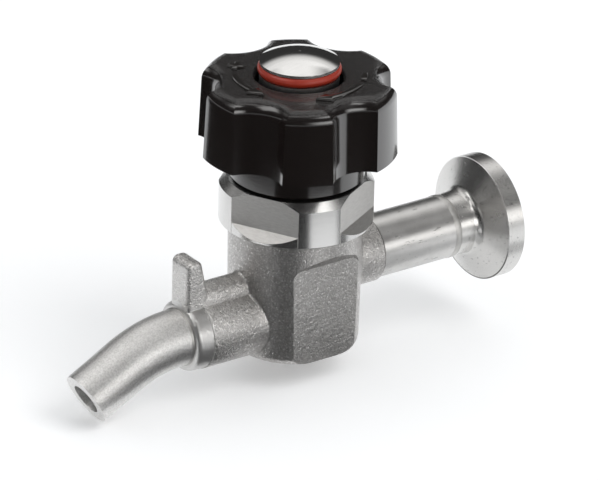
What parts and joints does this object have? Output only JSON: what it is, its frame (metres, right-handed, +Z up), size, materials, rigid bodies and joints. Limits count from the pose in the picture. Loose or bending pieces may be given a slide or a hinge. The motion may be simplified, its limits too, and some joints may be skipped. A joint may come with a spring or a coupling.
{
  "type": "sanitary sampling valve",
  "caption": "Small stainless sampling valve with a clamp ferrule inlet, a bent outlet spout and a lobed hand knob whose raised button shows a red ring when open.",
  "frame": {"origin": "centre of the ferrule's sealing face, on the inlet axis", "axes": "+X out of the ferrule along the inlet axis, +Z up along the spindle towards the button"},
  "size_m": [0.0982, 0.038, 0.0669],
  "materials": {
    "cast_steel": "bead-blasted stainless investment casting, fine sandy grain",
    "satin_steel": "satin-polished stainless tube",
    "turned_steel": "fine-turned bright stainless steel",
    "polished_steel": "mirror-polished stainless steel",
    "black_plastic": "glossy black moulded plastic with a finely grained top",
    "red_rubber": "smooth red silicone",
    "black_rubber": "smooth black elastomer",
    "white_polymer": "machined white PTFE",
    "bronze": "machined bronze",
    "spring_steel": "phosphated spring steel"
  },
  "bodies": {
    "valve": {"valve_body": "cast_steel", "inlet_tube": "satin_steel", "clamp_ferrule": "turned_steel", "outlet_spout": "satin_steel", "bonnet": "turned_steel", "bonnet_oring": "black_rubber", "stem_oring_lower": "black_rubber", "stem_oring_upper": "black_rubber", "stem_guide_bush": "white_polymer", "anti_rotation_pin": "turned_steel", "thrust_washer_lower": "white_polymer", "thrust_washer_upper": "white_polymer", "retaining_ring": "spring_steel", "neck_drag_ring": "black_rubber"},
    "hand_knob": {"knob": "black_plastic", "drive_nut": "bronze", "knob_lock_nut": "turned_steel"},
    "spindle": {"stem": "turned_steel", "plug_seal": "white_polymer", "plug_washer": "turned_steel", "plug_screw": "turned_steel", "indicator_button": "polished_steel", "indicator_oring": "red_rubber"}
  },
  "joints": [
    {"name": "knob_turn", "type": "hinge", "parent": "valve", "child": "hand_knob", "pos_m": [-0.047, 0, 0.034], "axis": [0, 0, 1], "range_deg": [-360, 0]},
    {"name": "spindle_lift", "type": "slide", "parent": "valve", "child": "spindle", "axis": [0, 0, 1], "range_m": [-0.003, 0]}
  ],
  "couplings": [
    {"joint": "spindle_lift", "follows": "knob_turn", "m_per_rad": 0.00047746}
  ]
}
